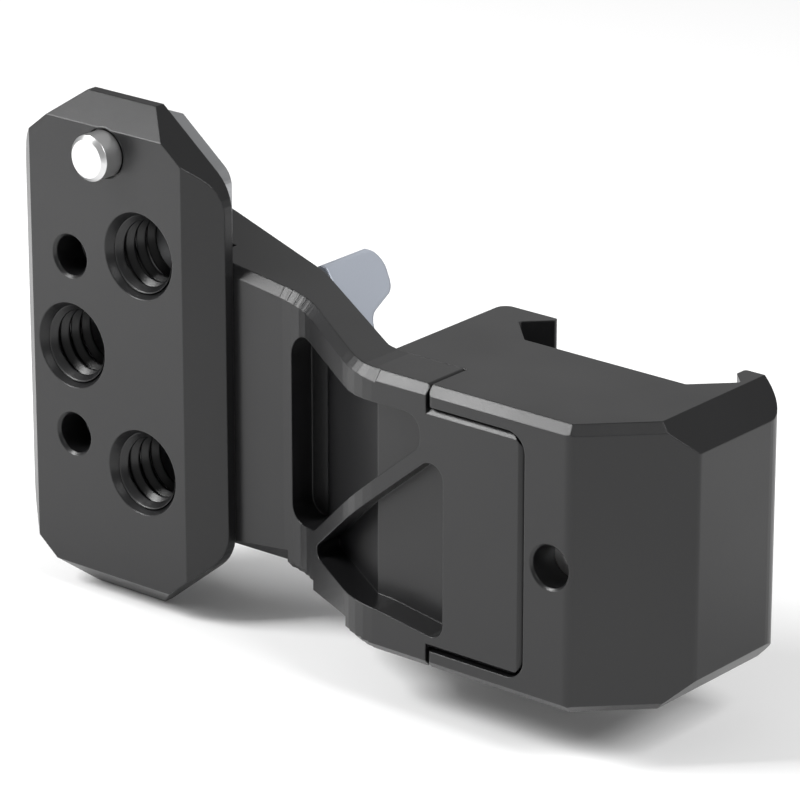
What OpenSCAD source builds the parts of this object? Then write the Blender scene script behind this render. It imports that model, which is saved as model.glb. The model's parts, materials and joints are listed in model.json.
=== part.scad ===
// Offset accessory arm: rail clamp body, cranked arm, accessory plate, cam lever.
// Millimetres. Origin: centre of the rail channel's floor. +Y out of the channel, +Z up.

/* [Clamp body] */
// Height of the clamp body
body_h = 23.4; // [21:0.1:30]
// Front face to channel floor
body_d = 13; // [12.8:0.1:15]
// Channel centre to left face
body_left = 14.25; // [13.9:0.05:17.1]
// Channel centre to right face
body_right = 13.7; // [13.3:0.05:17]
// Large chamfer on the right end
end_bevel = 2.45; // [0.8:0.05:3.5]
// Edge break along the front
edge_break = 0.72; // [0.2:0.02:1]

/* [Rail channel] */
// Width of the channel's floor
floor_w = 15.6; // [15:0.1:16.4]
// Width across the channel's two vees
channel_w = 21.6; // [21.2:0.1:22.4]
// Channel floor to the rear of the hooks
hook_y = 5.5; // [5:0.1:6.5]

/* [Arm] */
// Thickness of the tab that sits in the body
tab_t = 4.9; // [4.1:0.1:5.2]
// Depth of the pockets in the arm's face
pocket_d = 2.4; // [1.2:0.1:2.6]
// Slope of the arm's top edge in degrees
top_slope = 8; // [5:0.5:9.5]
// Slope of the arm's bottom edge in degrees
low_slope = 6.5; // [4:0.5:8]
// Gap round the tab in its recess
tab_gap = 0.2; // [0.1:0.05:0.4]

/* [Accessory plate] */
// Width over the plate's bevel
plate_w = 21.66; // [20.5:0.02:26]
// Height over the plate's bevel
plate_h = 42.64; // [41.5:0.02:51]
// Thickness of the plate
plate_t = 3.18; // [2.8:0.02:4]
// Thickness of the backing plate
back_t = 3.5; // [2.9:0.1:4.2]
// Height of the plate's centre
plate_z = 5.18; // [4:0.02:6.5]
// Wall diameter of the accessory threads
thread_d = 6.35; // [5.2:0.01:6.6]
// Diameter of the locating pin
pin_d = 3.85; // [3:0.05:4]
// Height the locating pin stands out
pin_out = 2.1; // [1:0.1:4]

/* [Cam] */
// Shaft journal diameter
journal_d = 5; // [4.4:0.1:5.4]
// Offset of the lobe from the shaft
throw = 0.7; // [0.55:0.01:0.74]
// Diameter of the lobe
lobe_d = 3.5; // [3:0.05:3.5]
// Width of the pressure bar
bar_w = 6.7; // [5.6:0.1:7.6]
// Height of the pressure bar
bar_h = 8; // [7.4:0.1:8.6]
// Radial clearance of the running fits
run_gap = 0.04; // [0.02:0.01:0.08]

/* [Lever] */
// Height of the lever's tip above its shaft
lever_z = 13.2; // [11:0.1:16]
// Outward lean of the lever in degrees
lever_lean = 40.3; // [36:0.1:41]
// Thickness of the lever blade
lever_t = 1.9; // [1.5:0.1:2.2]
// Diameter of the lever's hub
hub_d = 6; // [5.6:0.1:6.4]

/* [Hidden] */
$fn = 64;
arc_step = 9;
big = 60;
half_h = body_h/2;
front_y = -body_d;
seat_y = front_y + tab_t;
plate_back = -7.18;
plate_front = plate_back - plate_t;
back_rear = plate_back + back_t;
shaft_y = -3.7;
vee_y = (channel_w - floor_w)/2;

// clamp body outline
facet_x = body_right - 6.95;
hook_short = channel_w/2 - 1.4;
tab_x = 2.3;
tab_left = -7.12;
tab_half = half_h - 1.8;
lip_x = -7;

// arm
shoulder_x = -13.3;
bend_x = -14.5;
level_x = -24.55;
bend_r = 7.5;
bend_steps = 5;
cut_lap = 0.6;
lap_left = -49.5;
lap_rear = 1.6;
lap_low = -half_h + 0.7;
back_bend = [-26.7, -1.75];
back_start = -body_left - 0.55;
function arm_top(x) = half_h + tan(top_slope)*(shoulder_x - x);
function arm_low(x) = -half_h + tan(low_slope)*(shoulder_x - x);
slant = atan2(plate_back - front_y, bend_x - level_x);
break_tab = 0.4;

// plate
plate_x = -42.57;
flat_half = 3.7;
bevel_x = 2.61;
bevel_z = 2.04;
bevel_y = 2.28;
cut_deg = 38.66;
plate_r = 4;
core_in = 3.1;
core_flat = 2.6;
core_top = 1.85;
lap_gap = 0.44;
lap_x = plate_x + plate_w/2 - core_in + lap_gap;
csk_d = 7.3;
csk_y = 0.8;
hole_out = 3.55;
hole_in = -3.98;
hole_z = 9.3;
small_z = 7.7;
small_d = 3.35;
small_rim = 3.8;
pin_x = 0.07;
pin_z = 17.25;
pin_foot = 5.3;
pin_shank = 3;
pin_ring = 4.15;
ring_y = 0.3;
relief_d = thread_d + 0.65;
relief_t = 0.8;
accessory_holes = [[hole_out, hole_z], [hole_out, -hole_z], [hole_in, 0]];
small_holes = [[hole_in, small_z], [hole_in, -small_z]];

// screws and dowels
m25 = 2.5;
m2 = 2;
head25 = 4.5;
head25_t = 1.6;
head2 = 3.8;
hole_slack = 0.1;
tab_screw_z = half_h - 4.5;
tab_screws = [[-5.3, tab_screw_z], [0, tab_screw_z], [-5.3, -tab_screw_z], [0, -tab_screw_z]];
tab_screw_tip = seat_y - 2.2;
sink = 0.3;
dowel_d = 2;
tab_dowels = [[-2.6, 5.4], [-2.6, -5.4]];
dowel_in = 2.1;
dowel_out = 2.4;
plate_screw_at = [[4.17, 2.8], [4.17, -3], [-0.23, -13.2]];
plate_screw_tip = 1;
plate_dowel_at = [[-0.03, 4], [-0.03, -4.2]];
plate_dowel_d = 2.5;
core_screw_x = 5.3;
core_screw_z = 14.2;

// cam and bar
bore_d = journal_d + 2*run_gap;
lobe_bore = max(bore_d, 2*throw + lobe_d + 2*run_gap);
bush_d = journal_d + 1.5;
bush_x = -8.6;
lobe_x = bar_w/2 + 0.1;
end_d = lobe_d - 0.1;
end_bore = end_d + 1.4;
end_x = 8.2;
groove_d = end_d - 1.2;
groove_w = 1.9;
dog_x = 4.95;
dog_d = 1.6;
dog_screw_d = 3.4;
dog_face = 2.8;
lobe_deg = 135;
lobe_at = shaft_y + throw*cos(lobe_deg);
slot_h = lobe_d + 0.1;
slot_w = 5.1;
bar_face = -0.3;
bar_foot = lobe_at - slot_h/2 - 0.9;
bar_r = 0.8;
well_y = bar_foot - 0.2;
dog_step = well_y - 0.3;
pad_t = 0.6;
pad_proud = 0.2;

// lever
washer_t = 0.3;
hub_x = -body_left - washer_t - 0.1;
hub_t = 2.95;
hub_out = hub_x - hub_t;
drive_d = journal_d - 1;
drive_flat = journal_d - 2.2;
lever_foot = -17;
lean_x = tan(lever_lean);
blade_w = lever_t/cos(lever_lean);
web_low = 2.3;
web_top = 4.4;
tip_r = 0.7;
wash_d = 4.6;
wash_t = 0.4;
lever_screw_l = 5;
ring_x = -10.4;
ring_d = 0.6;

// ---------- helpers ----------

function unit(v) = v/norm(v);
function xy(p) = [p[0], p[1]];

// Points of one rounded corner, from the side of a to the side of b.
function arc_points(a, p, b, r) =
    let(
        u = unit(xy(a) - xy(p)),
        w = unit(xy(b) - xy(p)),
        half = acos(u*w)/2,
        t = r/tan(half),
        c = xy(p) + unit(u + w)*r/sin(half),
        n = ceil((180 - 2*half)/arc_step),
        v = xy(p) + u*t - c,
        s = turn(a, p, b) > 0 ? 1 : -1
    )
    [for (i = [0:n])
        let(g = s*i*(180 - 2*half)/n)
        c + [v[0]*cos(g) - v[1]*sin(g), v[0]*sin(g) + v[1]*cos(g)]];

function turn(a, p, b) = cross(xy(p) - xy(a), xy(b) - xy(p));

// Outline of [x, y, corner radius], counter-clockwise.
module rounded(pts) {
    n = len(pts);
    polygon([for (i = [0:n - 1])
        let(a = pts[(i + n - 1) % n], p = pts[i], b = pts[(i + 1) % n])
        each (p[2] > 0 ? arc_points(a, p, b, p[2]) : [xy(p)])]);
}

// Outline in X and Z, extruded along Y from y0 to y1.
module along_y(y0, y1) {
    translate([0, y1, 0]) rotate([90, 0, 0]) linear_extrude(y1 - y0) children();
}

// Outline in Y and Z, extruded along X from x0 to x1.
module along_x(x0, x1) {
    translate([x0, 0, 0]) rotate([90, 0, 90]) linear_extrude(x1 - x0) children();
}

module rod_y(d, y0, y1) {
    translate([0, y1, 0]) rotate([90, 0, 0]) cylinder(d = d, h = y1 - y0);
}

module cone_y(d0, d1, y0, y1) {
    translate([0, y0, 0]) rotate([-90, 0, 0]) cylinder(d1 = d0, d2 = d1, h = y1 - y0);
}

module rod_x(d, x0, x1) {
    translate([x0, shaft_y, 0]) rotate([0, 90, 0]) cylinder(d = d, h = x1 - x0);
}

// Slab whose base lies on the plane through p with outward normal n.
module plane_cut(p, n, run) {
    translate(p) rotate([0, acos(n[2]/norm(n)), atan2(n[1], n[0])])
        translate([-2, -run/2, 0]) cube([4, run, 3]);
}

// ---------- clamp body ----------

module body_outline() {
    rounded([
        [-body_left, seat_y, 0.3],
        [lip_x, seat_y, 0],
        [lip_x, front_y, 0.5],
        [facet_x, front_y, 1.2],
        [body_right, front_y + 6.95, 0.6],
        [body_right, hook_y, 2.5],
        [hook_short, hook_y, 0.3],
        [hook_short, vee_y + channel_w/2 - hook_short, 0.2],
        [channel_w/2, vee_y, 0.3],
        [floor_w/2, 0, 0.2],
        [-floor_w/2, 0, 0.2],
        [-channel_w/2, vee_y, 0.3],
        [-channel_w/2 + hook_y - vee_y, hook_y, 0.3],
        [-body_left, hook_y, 1],
    ]);
}

module body_chamfers() {
    c = edge_break/2;
    for (s = [-1, 1]) {
        plane_cut([0, front_y + c, s*(half_h - c)], [0, -1, s], 30);
        plane_cut([(facet_x + body_right)/2 - 0.7*c, front_y + 3.475 + 0.7*c, s*(half_h - c)],
            [0.7071, -0.7071, s], 14);
        translate([body_right, 0, s*half_h]) rotate([0, 45, 0])
            cube([end_bevel*sqrt(2), 60, end_bevel*sqrt(2)], center = true);
    }
}

module tab_recess() {
    r = tab_half + tab_gap;
    along_y(front_y - 1, seat_y) rounded([
        [lip_x - 20, -r, 0],
        [tab_x + tab_gap, -r, 1.7],
        [tab_x + tab_gap, r, 1.7],
        [lip_x - 20, r, 0],
    ]);
}

module clamp_body() {
    color([0.16, 0.16, 0.17]) difference() {
        translate([0, 0, -half_h]) linear_extrude(body_h) body_outline();
        body_chamfers();
        tab_recess();
        // shaft, bushes and the bar's well
        rod_x(bush_d, -body_left - 1, bush_x);
        // wide enough for the lobe to pass as the shaft goes in
        rod_x(lobe_bore, bush_x - 1, lobe_x + run_gap);
        rod_x(end_bore, 0, end_x + 0.2);
        along_y(well_y, 1) bar_section(run_gap);
        // retaining screw
        translate([dog_x, 0, 0]) rod_y(dog_screw_d, front_y - 1, dog_step);
        translate([dog_x, 0, 0]) rod_y(dog_d + 2*hole_slack, front_y, shaft_y);
        translate([dog_x, 0, 0]) cone_y(small_rim + 0.2, dog_screw_d, front_y - 0.1, front_y + 0.2);
        // arm screws and dowels
        for (p = tab_screws) translate([p[0], 0, p[1]]) {
            rod_y(m25 + 2*hole_slack, seat_y - 1, 1);
            rod_y(head25 + 3*hole_slack, -sink - head25_t, 1);
        }
        for (p = tab_dowels) translate([p[0], 0, p[1]]) rod_y(dowel_d, seat_y - 1, seat_y + dowel_out);
    }
}

// ---------- arm ----------

module arm_plan() {
    rounded([
        [tab_x, seat_y, 0.3],
        [back_start, seat_y, 1.5],
        [back_bend[0], back_bend[1], 4],
        [-39.5, lap_rear, 3],
        [lap_left, lap_rear, 0.6],
        [lap_left, back_rear, 0],
        [lap_x, back_rear, 0],
        [lap_x, plate_back, 0],
        [level_x, plate_back, bend_r],
        [bend_x, front_y, bend_r],
        [tab_x, front_y, 0],
    ]);
}

module arm_side() {
    rounded([
        [tab_x, -tab_half, 1.6],
        [tab_x, tab_half, 1.6],
        [tab_left, tab_half, 0.1],
        [tab_left, half_h, 0.4],
        [shoulder_x, half_h, 8],
        [lap_left + 4, arm_top(lap_left + 4), 1.5],
        [lap_left, arm_top(lap_left + 4) - 4, 1.5],
        [lap_left, lap_low + 4, 1.5],
        [lap_left + 4, lap_low, 1.5],
        [lap_x - 2.6, lap_low, 1],
        [lap_x, arm_low(lap_x), 1],
        [shoulder_x, -half_h, 8],
        [tab_left, -half_h, 0.4],
        [tab_left, -tab_half, 0.1],
    ]);
}

// Space in front of a surface that follows the arm's face at depth d.
module face_skin(d) {
    s = d*tan(slant/2);
    linear_extrude(big, center = true) polygon([
        [tab_x, front_y + d],
        [bend_x + s, front_y + d],
        [level_x + s, plate_back + d],
        [lap_x, plate_back + d],
        [lap_x, front_y - 5],
        [tab_x, front_y - 5],
    ]);
}

module upper_pocket() {
    rounded([
        [-25.6, -6, 1.5],
        [-22.3, -5.5, 2],
        [-7.7, 6.65, 1],
        [-7.7, half_h - 2.5, 1.5],
        [-14.7, half_h - 2.5, 6],
        [-25.6, arm_top(-25.6) - 2.83, 2],
    ]);
}

module lower_pocket() {
    rounded([
        [-22.8, -7.35, 0.7],
        [-12.2, -8, 6],
        [-5.4, -9.05, 1.2],
        [-5.4, 6.95, 1.28],
    ]);
}

// Height of the arm's top (s = 1) or bottom (s = -1) edge at x.
function arm_edge(x, s) = s > 0 ? arm_top(x) : arm_low(x);

// Chamfer round one bend of the face: side 1 for the bend that bulges out, -1 for the one that sinks in.
module bend_chamfer(centre, side, s, k, c) {
    step = slant/bend_steps;
    for (i = [0:bend_steps - 1]) {
        g = (i + 0.5)*step;
        n = [-sin(g), -cos(g)];
        p = centre + n*(side*bend_r - c);
        plane_cut([p[0], p[1], arm_edge(p[0], s) - s*c], [n[0] + k, n[1], s], (bend_r + c)*step*PI/180 + cut_lap);
    }
}

module arm_chamfers() {
    c = edge_break/2;
    n = [-sin(slant), -cos(slant)];
    reach = bend_r*tan(slant/2);
    flat_x = (lap_x + level_x - reach)/2;
    flat_run = level_x - reach - lap_x + cut_lap;
    mid_run = norm([bend_x - level_x, front_y - plate_back]) - 2*reach + cut_lap;
    mid_x = (bend_x + level_x)/2;
    mid_y = (front_y + plate_back)/2;
    for (s = [-1, 1]) {
        k = s > 0 ? tan(top_slope) : tan(low_slope);
        plane_cut([-10.4, front_y + c, s*(half_h - c)], [0, -1, s], 8);
        bend_chamfer([bend_x + reach, front_y + bend_r], 1, s, k, c);
        plane_cut([mid_x - n[0]*c, mid_y - n[1]*c, arm_edge(mid_x, s) - s*c],
            [n[0] + k, n[1], s], mid_run);
        bend_chamfer([level_x - reach, plate_back - bend_r], -1, s, k, c);
        plane_cut([flat_x, plate_back + c, arm_edge(flat_x, s) - s*c], [k, -1, s], flat_run);
        plane_cut([-2.4, front_y + break_tab/2, s*(tab_half - break_tab/2)], [0, -1, s], 9.4);
    }
    translate([tab_x, front_y, 0]) rotate([0, 0, 45])
        cube([break_tab*sqrt(2), break_tab*sqrt(2), big], center = true);
}

module offset_arm() {
    color([0.15, 0.15, 0.16]) difference() {
        intersection() {
            linear_extrude(big, center = true) arm_plan();
            along_y(front_y, lap_rear) arm_side();
        }
        arm_chamfers();
        intersection() {
            face_skin(pocket_d);
            along_y(front_y - 1, lap_rear) {
                upper_pocket();
                lower_pocket();
            }
        }
        // room for the lever's hub
        rod_x(hub_d + 0.7, hub_out - 1, -14.2);
        for (p = tab_screws) translate([p[0], 0, p[1]]) rod_y(m25, tab_screw_tip - hole_slack, seat_y + 1);
        for (p = tab_dowels) translate([p[0], 0, p[1]]) rod_y(dowel_d, seat_y - dowel_in, seat_y + 1);
        translate([plate_x, 0, plate_z]) {
            for (p = accessory_holes) translate([p[0], 0, p[1]])
                rod_y(relief_d, back_rear - 1, back_rear + relief_t);
            for (p = plate_screw_at) translate([p[0], 0, p[1]]) {
                rod_y(m25 + 2*hole_slack, back_rear - 1, lap_rear + 1);
                cone_y(m25 + 2*hole_slack, head25 + 0.4, lap_rear - 1.4, lap_rear + 0.05);
            }
            for (p = plate_dowel_at) translate([p[0], 0, p[1]])
                rod_y(plate_dowel_d, back_rear - 1, back_rear + 3.2);
        }
    }
}

// ---------- accessory plate ----------

// Octagon with flats of half-width flat and sloped corners, at half sizes hx and hz.
module octagon(hx, hz, flat, r) {
    drop = (hx - flat)*tan(cut_deg);
    rounded([
        [hx, -hz + drop, r], [hx, hz - drop, r], [flat, hz, 0], [-flat, hz, 0],
        [-hx, hz - drop, r], [-hx, -hz + drop, r], [-flat, -hz, 0], [flat, -hz, 0],
    ]);
}

// Bar along Z whose front edges are bevelled by inset over bevel_y.
module bevelled(half, inset) {
    linear_extrude(big + 10, center = true) polygon([
        [-half, plate_back + 1], [-half, plate_front + bevel_y], [-half + inset, plate_front],
        [half - inset, plate_front], [half, plate_front + bevel_y], [half, plate_back + 1],
    ]);
}

module plate_blank() {
    hx = plate_w/2;
    hz = plate_h/2;
    reach = flat_half*sin(cut_deg) + hz*cos(cut_deg);
    intersection() {
        along_y(plate_front, plate_back) octagon(hx, hz, flat_half, plate_r);
        bevelled(hx, bevel_x);
        rotate([0, 90, 0]) bevelled(hz, bevel_z);
        for (s = [-1, 1]) rotate([0, s*(90 - cut_deg), 0]) bevelled(reach, bevel_z*cos(cut_deg));
    }
}

module accessory_plate() {
    color([0.15, 0.15, 0.16]) translate([plate_x, 0, plate_z]) difference() {
        plate_blank();
        for (p = accessory_holes) translate([p[0], 0, p[1]]) {
            rod_y(thread_d, plate_front - 1, plate_back + 1);
            cone_y(csk_d, thread_d, plate_front, plate_front + csk_y);
        }
        for (p = small_holes) translate([p[0], 0, p[1]]) {
            rod_y(small_d, plate_front - 1, plate_back + 1);
            cone_y(small_rim, small_d, plate_front, plate_front + 0.25);
        }
        translate([pin_x, 0, pin_z]) {
            rod_y(pin_shank, plate_front - 1, plate_back + 1);
            rod_y(pin_ring, plate_front - 1, plate_front + ring_y);
        }
        for (p = plate_screw_at) translate([p[0], 0, p[1]])
            rod_y(m25, plate_front + plate_screw_tip - hole_slack, plate_back + 1);
        for (p = plate_dowel_at) translate([p[0], 0, p[1]])
            rod_y(plate_dowel_d, plate_back - 1.6, plate_back + 1);
        for (x = [-1, 1], z = [-1, 1]) translate([x*core_screw_x, 0, z*core_screw_z])
            rod_y(m2, plate_front + plate_screw_tip - hole_slack, plate_back + 1);
    }
}

module backing_plate() {
    color([0.80, 0.80, 0.82]) translate([plate_x, 0, plate_z]) difference() {
        along_y(plate_back, back_rear) octagon(plate_w/2 - core_in, plate_h/2 - core_top, core_flat, 2);
        for (p = accessory_holes) translate([p[0], 0, p[1]]) rod_y(thread_d, plate_back - 1, back_rear + 1);
        for (p = small_holes) translate([p[0], 0, p[1]]) rod_y(small_d, plate_back - 1, back_rear + 1);
        translate([pin_x, 0, pin_z]) rod_y(pin_shank, plate_back - 1, plate_front + pin_foot + hole_slack);
        for (p = plate_screw_at) translate([p[0], 0, p[1]])
            rod_y(m25 + 2*hole_slack, plate_back - 1, back_rear + 1);
        for (p = plate_dowel_at) translate([p[0], 0, p[1]])
            rod_y(plate_dowel_d, plate_back - 1, back_rear + 1);
        for (x = [-1, 1], z = [-1, 1]) translate([x*core_screw_x, 0, z*core_screw_z]) {
            rod_y(m2 + 2*hole_slack, plate_back - 1, back_rear + 1);
            cone_y(m2 + 2*hole_slack, head2 + 0.2, back_rear - 1.1, back_rear + 0.05);
        }
    }
}

module locating_pin() {
    chamfer = 0.35;
    color([0.85, 0.86, 0.88]) translate([plate_x + pin_x, 0, plate_z + pin_z]) union() {
        rod_y(pin_d, plate_front - pin_out + chamfer, plate_front);
        rod_y(pin_shank, plate_front - pin_out/2, plate_front + pin_foot);
        cone_y(pin_d - 2*chamfer, pin_d, plate_front - pin_out, plate_front - pin_out + chamfer);
    }
}

// ---------- screws and dowels ----------

// Flat-headed screw along Y: tip at y0, head face at y1.
module flat_screw(d, head, y0, y1) {
    head_t = (head - d)/2;
    difference() {
        union() {
            rod_y(d, y0 + 0.3, y1 - head_t);
            cone_y(d - 0.6, d, y0, y0 + 0.3);
            cone_y(d, head, y1 - head_t, y1);
        }
        along_y(y1 - head_t*0.8, y1 + 1) circle(d = d*0.65, $fn = 6);
    }
}

// Cap screw along Y: tip at y0, head face at y1.
module cap_screw(d, head, head_t, y0, y1) {
    difference() {
        union() {
            rod_y(d, y0 + 0.3, y1 - head_t);
            cone_y(d - 0.6, d, y0, y0 + 0.3);
            rod_y(head, y1 - head_t, y1 - 0.2);
            cone_y(head, head - 0.4, y1 - 0.2, y1);
        }
        along_y(y1 - head_t*0.6, y1 + 1) circle(d = d*0.9, $fn = 6);
    }
}

module backing_screws() {
    color([0.55, 0.56, 0.58]) translate([plate_x, 0, plate_z])
        for (x = [-1, 1], z = [-1, 1]) translate([x*core_screw_x, 0, z*core_screw_z])
            flat_screw(m2, head2, plate_front + plate_screw_tip, back_rear - 0.05);
}

module plate_screws() {
    color([0.12, 0.12, 0.13]) translate([plate_x, 0, plate_z])
        for (p = plate_screw_at) translate([p[0], 0, p[1]])
            flat_screw(m25, head25, plate_front + plate_screw_tip, lap_rear - 0.2);
}

module plate_dowels() {
    color([0.7, 0.7, 0.72]) translate([plate_x, 0, plate_z])
        for (p = plate_dowel_at) translate([p[0], 0, p[1]])
            rod_y(plate_dowel_d, plate_back - 1.5, back_rear + 3.1);
}

module arm_screws() {
    color([0.12, 0.12, 0.13]) for (p = tab_screws) translate([p[0], 0, p[1]])
        cap_screw(m25, head25, head25_t, tab_screw_tip, -sink);
}

module arm_dowels() {
    color([0.7, 0.7, 0.72]) for (p = tab_dowels) translate([p[0], 0, p[1]])
        rod_y(dowel_d, seat_y - dowel_in + 0.1, seat_y + dowel_out - 0.1);
}

// ---------- cam ----------

module shaft_bush() {
    color([0.72, 0.53, 0.28]) difference() {
        rod_x(bush_d, -body_left, bush_x);
        rod_x(bore_d, -body_left - 1, bush_x + 1);
    }
}

module end_bush() {
    color([0.72, 0.53, 0.28]) difference() {
        rod_x(end_bore, end_x - 2.1, end_x + 0.1);
        rod_x(end_d + 2*run_gap, end_x - 3, end_x + 1);
    }
}

module cam_shaft() {
    color([0.62, 0.63, 0.65]) difference() {
        union() {
            rod_x(journal_d, hub_x, -lobe_x);
            intersection() {
                rod_x(drive_d, hub_out + 0.1, hub_x + 1);
                translate([hub_out - 1, shaft_y - 5, -drive_flat/2]) cube([10, 10, drive_flat]);
            }
            translate([0, throw*cos(lobe_deg), throw*sin(lobe_deg)]) rod_x(lobe_d, -lobe_x - 0.5, lobe_x);
            rod_x(end_d, lobe_x - 0.05, end_x - 0.3);
            translate([end_x - 0.3, shaft_y, 0]) rotate([0, 90, 0])
                cylinder(d1 = end_d, d2 = end_d - 0.6, h = 0.3);
        }
        // groove for the retaining screw's dog
        difference() {
            rod_x(end_d + 1, dog_x - groove_w/2, dog_x + groove_w/2);
            rod_x(groove_d, dog_x - groove_w, dog_x + groove_w);
        }
        // groove for the shaft ring
        difference() {
            rod_x(journal_d + 1, ring_x - 0.45, ring_x + 0.45);
            rod_x(journal_d - 2*ring_d, ring_x - 1, ring_x + 1);
        }
        rod_x(m2, hub_out - 1, hub_out + lever_screw_l + 0.5);
    }
}

module shaft_ring() {
    color([0.05, 0.05, 0.05]) translate([ring_x, shaft_y, 0]) rotate([0, 90, 0])
        rotate_extrude() translate([(journal_d - ring_d)/2, 0]) circle(d = ring_d, $fn = 32);
}

module retaining_screw() {
    face = front_y + dog_face;
    color([0.75, 0.76, 0.78]) translate([dog_x, 0, 0]) difference() {
        union() {
            rod_y(dog_screw_d - 0.04, face, dog_step - 0.1);
            rod_y(dog_d, face + 1, shaft_y - groove_d/2 - 0.15);
        }
        along_y(face - 1, face + 1.2) circle(d = 1.7, $fn = 6);
    }
}

module thrust_washer() {
    color([0.85, 0.84, 0.78]) difference() {
        rod_x(bush_d - 0.3, -body_left - washer_t, -body_left);
        rod_x(bore_d + 0.1, -body_left - 1, 0);
    }
}

// ---------- pressure bar ----------

module bar_section(gap) {
    x = bar_w/2 + gap;
    z = bar_h/2 + gap;
    r = bar_r + gap;
    rounded([[-x, -z, r], [x, -z, r], [x, z, r], [-x, z, r]]);
}

module pad_section(gap) {
    x = bar_w/2 - 0.6 + gap;
    z = bar_h/2 - 0.6 + gap;
    rounded([[-x, -z, 0.5], [x, -z, 0.5], [x, z, 0.5], [-x, z, 0.5]]);
}

module pressure_bar() {
    color([0.66, 0.66, 0.68]) difference() {
        along_y(bar_foot, bar_face) bar_section(0);
        along_x(-bar_w, bar_w) translate([lobe_at, 0]) square([slot_h, slot_w], center = true);
        along_y(bar_face + pad_proud - pad_t, 1) pad_section(0);
    }
}

module bar_pad() {
    color([0.1, 0.1, 0.1]) along_y(bar_face + pad_proud - pad_t, bar_face + pad_proud) pad_section(-0.02);
}

// ---------- lever ----------

// Blade seen along Y: a web out of the hub, then a strip that leans outward.
module lever_profile() {
    foot_x = lever_foot - web_top*lean_x;
    top_x = lever_foot - lever_z*lean_x;
    left_x = lever_foot - web_low*lean_x - blade_w;
    rounded([
        [hub_x, web_top - 2, 0],
        [hub_x, web_top, 1],
        [foot_x, web_top, 1.2],
        [top_x, lever_z, 0.5],
        [top_x - blade_w*0.75, lever_z + 0.1, tip_r],
        [left_x, web_low, 2],
        [hub_out, web_low, 0],
        [hub_out, web_top - 3.4, 0],
        [hub_x, web_top - 3.4, 0],
    ]);
}

// Blade seen along X: neck beside the arm, finger pad flared to the rear.
module lever_outline() {
    s = lever_z/13.2;
    rounded([
        [-3.2, 0.8, 0],
        [0, 0.8, 0],
        [0.7, 4.4*s, 6],
        [1.4, 9.2*s, 2],
        [5.6, 10.4*s, 1.6],
        [6.6, 12.7*s, 1.2],
        [5, lever_z + 0.3, 2],
        [0.1, lever_z + 0.3, 0.4],
        [-0.1, 12.2*s, 3],
        [-1.25, 8*s, 3],
        [-3.2, 2.6, 0.8],
    ]);
}

module lever() {
    color([0.48, 0.51, 0.56]) difference() {
        union() {
            rod_x(hub_d, hub_out, hub_x);
            intersection() {
                along_y(-10, 10) lever_profile();
                along_x(-40, hub_x) lever_outline();
            }
        }
        intersection() {
            rod_x(drive_d + 0.04, hub_out - 1, hub_x + 1);
            translate([hub_out - 2, shaft_y - 5, -drive_flat/2 - 0.02]) cube([10, 10, drive_flat + 0.04]);
        }
    }
}

module lever_washer() {
    color([0.7, 0.71, 0.73]) difference() {
        rod_x(wash_d, hub_out - wash_t, hub_out);
        rod_x(m2 + 0.2, hub_out - 1, hub_out + 1);
    }
}

module lever_screw() {
    head = hub_out - wash_t;
    color([0.6, 0.61, 0.63]) difference() {
        union() {
            rod_x(head2, head - 1.1, head);
            translate([head - 1.3, shaft_y, 0]) rotate([0, 90, 0])
                cylinder(d1 = head2 - 0.5, d2 = head2, h = 0.2);
            rod_x(m2, head - 0.5, hub_out + lever_screw_l);
        }
        along_x(head - 2, head - 0.5) translate([shaft_y, 0]) circle(d = 1.6, $fn = 6);
    }
}

// ---------- draw ----------

clamp_body();
offset_arm();
accessory_plate();
backing_plate();
locating_pin();
backing_screws();
plate_screws();
plate_dowels();
arm_screws();
arm_dowels();
shaft_bush();
end_bush();
cam_shaft();
shaft_ring();
retaining_screw();
thrust_washer();
lever();
lever_washer();
lever_screw();
pressure_bar();
bar_pad();
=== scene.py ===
import json
import math

import bpy
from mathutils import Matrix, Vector


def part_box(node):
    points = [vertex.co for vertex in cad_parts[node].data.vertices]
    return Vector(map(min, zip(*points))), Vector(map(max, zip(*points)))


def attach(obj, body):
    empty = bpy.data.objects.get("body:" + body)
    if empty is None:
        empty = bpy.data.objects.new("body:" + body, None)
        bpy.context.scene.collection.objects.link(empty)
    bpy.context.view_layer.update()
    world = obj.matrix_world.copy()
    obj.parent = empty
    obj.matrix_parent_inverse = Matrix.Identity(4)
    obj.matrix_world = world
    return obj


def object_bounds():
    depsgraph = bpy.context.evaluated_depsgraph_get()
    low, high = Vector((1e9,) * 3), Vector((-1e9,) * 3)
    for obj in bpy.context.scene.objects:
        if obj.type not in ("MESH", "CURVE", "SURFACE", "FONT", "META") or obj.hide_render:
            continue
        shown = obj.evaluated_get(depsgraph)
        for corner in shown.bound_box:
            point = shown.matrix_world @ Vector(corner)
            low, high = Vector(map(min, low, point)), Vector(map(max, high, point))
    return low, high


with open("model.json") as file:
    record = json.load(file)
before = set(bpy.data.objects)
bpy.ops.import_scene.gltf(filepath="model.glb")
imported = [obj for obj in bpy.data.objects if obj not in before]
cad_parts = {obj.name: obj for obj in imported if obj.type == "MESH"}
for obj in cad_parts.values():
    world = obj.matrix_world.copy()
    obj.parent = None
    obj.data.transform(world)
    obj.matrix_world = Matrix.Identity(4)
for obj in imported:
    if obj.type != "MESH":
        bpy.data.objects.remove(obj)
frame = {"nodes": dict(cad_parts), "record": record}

start_box = [list(c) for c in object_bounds()]
MM = 0.001

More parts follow.
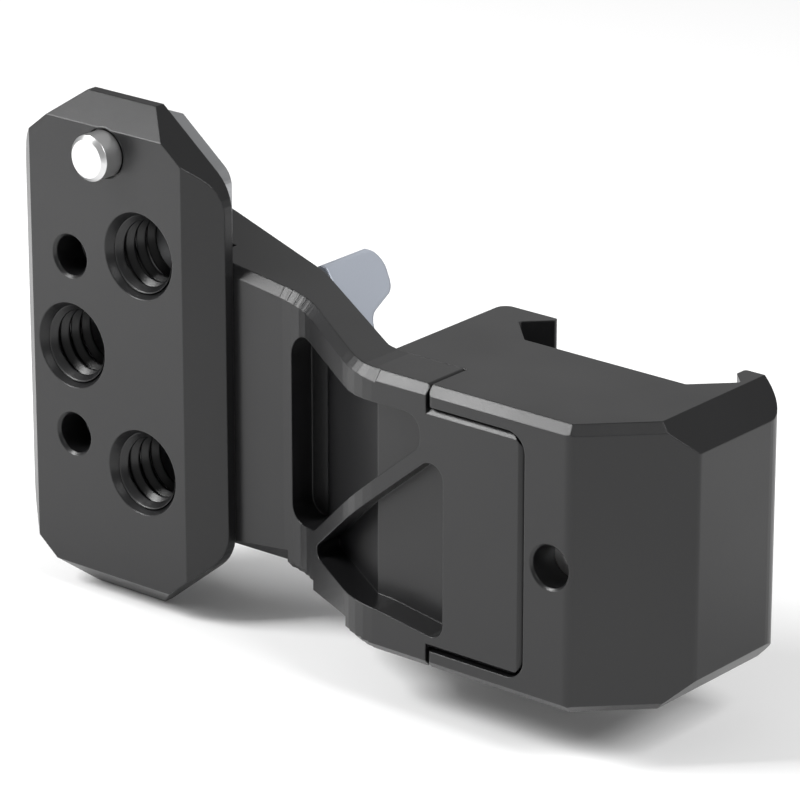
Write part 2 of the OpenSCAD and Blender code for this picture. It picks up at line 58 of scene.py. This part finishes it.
# Sizes in millimetres, in the frame's own axes.
PITCH = 1.27            # 20 threads per inch
THREAD_WALL = 3.175
THREAD_CREST = 2.62
CSK_RIM = 3.65
RIDGE_SHARE = 0.47      # half the ridge's foot, as a share of the pitch
RIDGE_SINK = 0.03       # how far the foot sits in the wall
CREST_FLAT = 0.09
RIDGE_STEPS = 56        # facets in one turn
MOUTH_DEPTH = 1.45      # depth of the cone that opens the first turns
MOUTH_PROUD = 0.6       # how far the cone stands out of the face
MOUTH_EXTRA = 0.2       # added to the rim at the cone's wide end
MOUTH_CLEAR = 0.1       # taken off the crest at its narrow end
PLATE_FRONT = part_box("accessory_plate")[0].y / MM
CORE_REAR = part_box("backing_plate")[1].y / MM

SAME_POINT = 1e-7       # metres; closer points are merged
SHARP_ANGLE = math.radians(35)


# ---------- materials ----------

GRAIN_DETAIL = 3.0
GRAIN_BREAK = 0.6
CLOUDS_PER_METRE = 90.0     # slow change in gloss over about a centimetre
CLOUD_DETAIL = 2.0
CLOUD_LOW, CLOUD_HIGH = 0.3, 0.7
GLOSS_CHANGE = 0.03
EDGE_SAMPLES = 6


def rgb(code):
    """Linear colour of an sRGB hex code."""
    parts = [int(code[i:i + 2], 16) / 255 for i in (1, 3, 5)]
    return [c / 12.92 if c <= 0.04045 else ((c + 0.055) / 1.055) ** 2.4 for c in parts] + [1]


def add(tree, kind, **values):
    """Adds a node; keys are its sockets or its own settings."""
    n = tree.nodes.new(kind)
    for key, value in values.items():
        name = key.replace("_", " ").title().replace("Ior", "IOR")
        if name in n.inputs:
            if hasattr(value, "is_output"):
                tree.links.new(value, n.inputs[name])
            else:
                n.inputs[name].default_value = value
        else:
            setattr(n, key, value)
    return n


def finish_of(name, colour, metallic, roughness, grain_mm, bump_mm, spread=0.06, edge_mm=0.12,
              gloss=0.5, streak=None):
    """A metal or plastic with a fine grain, slight colour spread and softened edges."""
    m = bpy.data.materials.new(name)
    m.use_nodes = True
    t = m.node_tree
    t.nodes.clear()
    place = add(t, "ShaderNodeTexCoord").outputs["Object"]
    if streak:
        place = add(t, "ShaderNodeMapping", vector=place, scale=streak).outputs["Vector"]
    grain = add(t, "ShaderNodeTexNoise", vector=place, scale=1 / (grain_mm * MM),
                detail=GRAIN_DETAIL, roughness=GRAIN_BREAK)
    cloud = add(t, "ShaderNodeTexNoise", vector=place, scale=CLOUDS_PER_METRE, detail=CLOUD_DETAIL)
    base = rgb(colour)
    dark = [c * (1 - spread) for c in base[:3]] + [1]
    light = [min(1, c * (1 + spread)) for c in base[:3]] + [1]
    tint = add(t, "ShaderNodeMix", data_type="RGBA")
    t.links.new(grain.outputs["Fac"], tint.inputs["Factor"])
    # sockets 6 and 7 are the mix's two colours, output 2 is its result
    tint.inputs[6].default_value = dark
    tint.inputs[7].default_value = light
    colour_out = tint.outputs[2]
    rough = add(t, "ShaderNodeMapRange", value=cloud.outputs["Fac"],
                from_min=CLOUD_LOW, from_max=CLOUD_HIGH,
                to_min=roughness - GLOSS_CHANGE, to_max=roughness + GLOSS_CHANGE)
    soft = add(t, "ShaderNodeBevel", samples=EDGE_SAMPLES, radius=edge_mm * MM)
    bump = add(t, "ShaderNodeBump", strength=1.0, distance=bump_mm * MM,
               height=grain.outputs["Fac"], normal=soft.outputs["Normal"])
    shader = add(t, "ShaderNodeBsdfPrincipled", base_color=colour_out, metallic=metallic,
                 roughness=rough.outputs["Result"], specular_ior_level=gloss,
                 normal=bump.outputs["Normal"])
    out = add(t, "ShaderNodeOutputMaterial")
    t.links.new(shader.outputs["BSDF"], out.inputs["Surface"])
    return m


FINISHES = {
    # Black anodised aluminium, bead-blasted first: a dark grey satin with a fine sparkle and soft,
    # slightly lighter edges. The dye layer hides the metal. The grain is drawn coarser than real.
    "anodised_dark": finish_of("anodised_dark", "#161617", 0.0, 0.32, 0.13, 0.007,
                               spread=0.16, edge_mm=0.16, gloss=0.45),
    # Bare aluminium, fine-milled: a light grey metal with faint streaks along Z.
    "bare_aluminium": finish_of("bare_aluminium", "#a9aaac", 0.9, 0.34, 0.05, 0.002,
                                streak=(1, 1, 0.1)),
    # Grey anodised aluminium, tumbled: a pale, cool satin with round, soft edges.
    "lever_grey": finish_of("lever_grey", "#b2b8c3", 0.35, 0.36, 0.09, 0.003, edge_mm=0.25),
    # Stainless steel, ground: bright, with a broad soft highlight.
    "bright_steel": finish_of("bright_steel", "#d2d2d2", 0.9, 0.30, 0.04, 0.001, edge_mm=0.08),
    # Steel with black oxide: near black, with a metal's sheen on the heads.
    "black_steel": finish_of("black_steel", "#2c2c2e", 0.8, 0.34, 0.06, 0.001, edge_mm=0.08),
    # Sintered bronze, oil-filled: a dull warm brown-yellow metal.
    "bronze": finish_of("bronze", "#b08a52", 1.0, 0.42, 0.08, 0.003),
    # Nitrile rubber, moulded: matt black.
    "rubber_black": finish_of("rubber_black", "#1c1c1c", 0.0, 0.62, 0.10, 0.004),
    # Natural acetal, machined: milky off-white with a low gloss.
    "polymer_natural": finish_of("polymer_natural", "#dcd8c8", 0.0, 0.42, 0.20, 0.001),
}

for item in frame["record"]["subparts"]:
    mesh = frame["nodes"][item["node"]].data
    mesh.materials.clear()
    mesh.materials.append(FINISHES[item["material_slot"]])


# ---------- modelled pieces ----------

def clear_selection():
    bpy.ops.object.select_all(action="DESELECT")


def settle(o, name, finish, body):
    """Bakes the place into the mesh, then names, paints and attaches the piece."""
    clear_selection()
    o.select_set(True)
    bpy.context.view_layer.objects.active = o
    bpy.ops.object.transform_apply(location=True, rotation=True, scale=True)
    bpy.ops.object.mode_set(mode="EDIT")
    bpy.ops.mesh.select_all(action="SELECT")
    bpy.ops.mesh.remove_doubles(threshold=SAME_POINT)
    bpy.ops.mesh.normals_make_consistent(inside=False)
    bpy.ops.object.mode_set(mode="OBJECT")
    bpy.ops.object.shade_smooth_by_angle(angle=SHARP_ANGLE)
    o.name = name
    o.data.materials.clear()
    o.data.materials.append(FINISHES[finish])
    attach(o, body)
    return o


def thread_ridge(name, x, z, y0, y1, wall, crest, pitch, rim, body, finish):
    """Helical ridge standing inward from a bore's wall, trimmed by the mouth's cone."""
    turns = int((y1 - y0) / pitch) - 1
    clear_selection()
    bpy.ops.mesh.primitive_circle_add(vertices=3, radius=1, fill_type="NOTHING",
                                      location=(0, 0, 0), rotation=(math.pi / 2, 0, 0))
    o = bpy.context.object
    bpy.ops.object.transform_apply(location=True, rotation=True, scale=True)
    # the three corners become a crest and two roots
    tip = max(range(3), key=lambda i: o.data.vertices[i].co.z)
    roots = [i for i in range(3) if i != tip]
    o.data.vertices[tip].co = (crest * MM, 0, 0)
    for s, i in zip((-1, 1), roots):
        o.data.vertices[i].co = ((wall + RIDGE_SINK) * MM, 0, s * RIDGE_SHARE * pitch * MM)
    # flat on the crest
    bpy.ops.object.mode_set(mode="EDIT")
    bpy.ops.mesh.select_mode(type="VERT")
    bpy.ops.mesh.select_all(action="DESELECT")
    bpy.ops.object.mode_set(mode="OBJECT")
    o.data.vertices[tip].select = True
    bpy.ops.object.mode_set(mode="EDIT")
    bpy.ops.mesh.bevel(offset=CREST_FLAT * MM, affect="VERTICES", segments=1)
    bpy.ops.object.mode_set(mode="OBJECT")
    wind = o.modifiers.new("wind", "SCREW")
    wind.axis = "Z"
    wind.screw_offset = pitch * MM
    wind.iterations = turns
    wind.steps = wind.render_steps = RIDGE_STEPS
    wind.use_smooth_shade = False
    bpy.ops.object.modifier_apply(modifier="wind")
    bpy.ops.object.mode_set(mode="EDIT")
    bpy.ops.mesh.select_all(action="DESELECT")
    bpy.ops.mesh.select_non_manifold()
    bpy.ops.mesh.fill_holes(sides=0)
    bpy.ops.mesh.select_all(action="SELECT")
    bpy.ops.mesh.remove_doubles(threshold=SAME_POINT)
    bpy.ops.mesh.normals_make_consistent(inside=False)
    bpy.ops.object.mode_set(mode="OBJECT")
    o.rotation_euler = (-math.pi / 2, 0, 0)
    o.location = (x * MM, (y0 + pitch * 0.5) * MM, z * MM)
    bpy.ops.object.transform_apply(location=True, rotation=True, scale=True)
    # cone that opens the first turns
    middle = y0 + (MOUTH_DEPTH - MOUTH_PROUD) / 2
    bpy.ops.mesh.primitive_cone_add(vertices=64, radius1=(rim + MOUTH_EXTRA) * MM,
                                    radius2=(crest - MOUTH_CLEAR) * MM,
                                    depth=(MOUTH_DEPTH + MOUTH_PROUD) * MM,
                                    location=(x * MM, middle * MM, z * MM),
                                    rotation=(-math.pi / 2, 0, 0))
    cone = bpy.context.object
    clear_selection()
    o.select_set(True)
    bpy.context.view_layer.objects.active = o
    trim = o.modifiers.new("trim", "BOOLEAN")
    trim.operation = "DIFFERENCE"
    trim.solver = "EXACT"
    trim.object = cone
    bpy.ops.object.modifier_apply(modifier="trim")
    bpy.data.objects.remove(cone, do_unlink=True)
    return settle(o, name, finish, body)


for mount in frame["record"]["mounts"]:
    if mount["kind"] == "threaded_hole":
        px, _, pz = [v / MM for v in mount["pos_m"]]
        thread_ridge(mount["name"] + "_ridge", px, pz, PLATE_FRONT, CORE_REAR,
                     THREAD_WALL, THREAD_CREST, PITCH, CSK_RIM, "frame", "anodised_dark")


# ---------- floor, light, camera ----------

def flat(name, colour, rough):
    m = bpy.data.materials.new(name)
    m.use_nodes = True
    s = m.node_tree.nodes["Principled BSDF"]
    s.inputs["Base Color"].default_value = rgb(colour)
    s.inputs["Roughness"].default_value = rough
    return m


FLOOR_SIZE = 6
FLOOR_GAP = 0.0002
low = start_box[0][2]
clear_selection()
bpy.ops.mesh.primitive_plane_add(size=FLOOR_SIZE, location=(0, 0, low - FLOOR_GAP))
floor = bpy.context.object
floor.name = "floor"
floor.data.materials.append(flat("floor_paint", "#fbfbfb", 0.9))


def softbox(name, place, aim, size, watts):
    data = bpy.data.lights.new(name, "AREA")
    data.shape = "RECTANGLE"
    data.size, data.size_y = size
    data.energy = watts
    o = bpy.data.objects.new(name, data)
    bpy.context.collection.objects.link(o)
    o.location = place
    o.visible_camera = False
    o.rotation_mode = "QUATERNION"
    o.rotation_quaternion = (Vector(aim) - Vector(place)).to_track_quat("-Z", "Y")
    return o


# What the lights point at, in metres.
CENTRE = (-0.018, 0, 0.004)
PLATE_MIDDLE = (-0.040, -0.010, 0.005)
BODY_TOP = (0.012, -0.008, 0.0117)
softbox("key_left", (-0.27, -0.22, 0.28), CENTRE, (0.16, 0.16), 1.8)
softbox("plate_fill", (-0.15, -0.13, 0.07), PLATE_MIDDLE, (0.08, 0.08), 0.08)
softbox("top_right", (0.42, 0.02, 0.42), CENTRE, (0.3, 0.3), 2.6)
softbox("rear_glow", (-0.050, 0.066, 0.047), BODY_TOP, (0.05, 0.05), 0.002)

world = bpy.data.worlds.new("studio")
world.use_nodes = True
world.node_tree.nodes["Background"].inputs["Color"].default_value = (1, 1, 1, 1)
world.node_tree.nodes["Background"].inputs["Strength"].default_value = 0.32
bpy.context.scene.world = world
bpy.context.scene.view_settings.view_transform = "Standard"

azimuth, elevation = math.radians(39.63), math.radians(20.53)
back = Vector((math.sin(azimuth) * math.cos(elevation),
               -math.cos(azimuth) * math.cos(elevation),
               math.sin(elevation)))
LOOK_AT = Vector((-9.64, -13.0, 10.0)) * MM
DISTANCE = 0.3774
camera = bpy.data.objects.new("camera", bpy.data.cameras.new("camera"))
bpy.context.collection.objects.link(camera)
camera.data.sensor_width = 36
camera.data.lens = 222.4
camera.data.clip_start = 0.01
camera.data.clip_end = 20
camera.rotation_mode = "QUATERNION"
camera.location = LOOK_AT + back * DISTANCE
camera.rotation_quaternion = (-back).to_track_quat("-Z", "Y")
bpy.context.scene.camera = camera
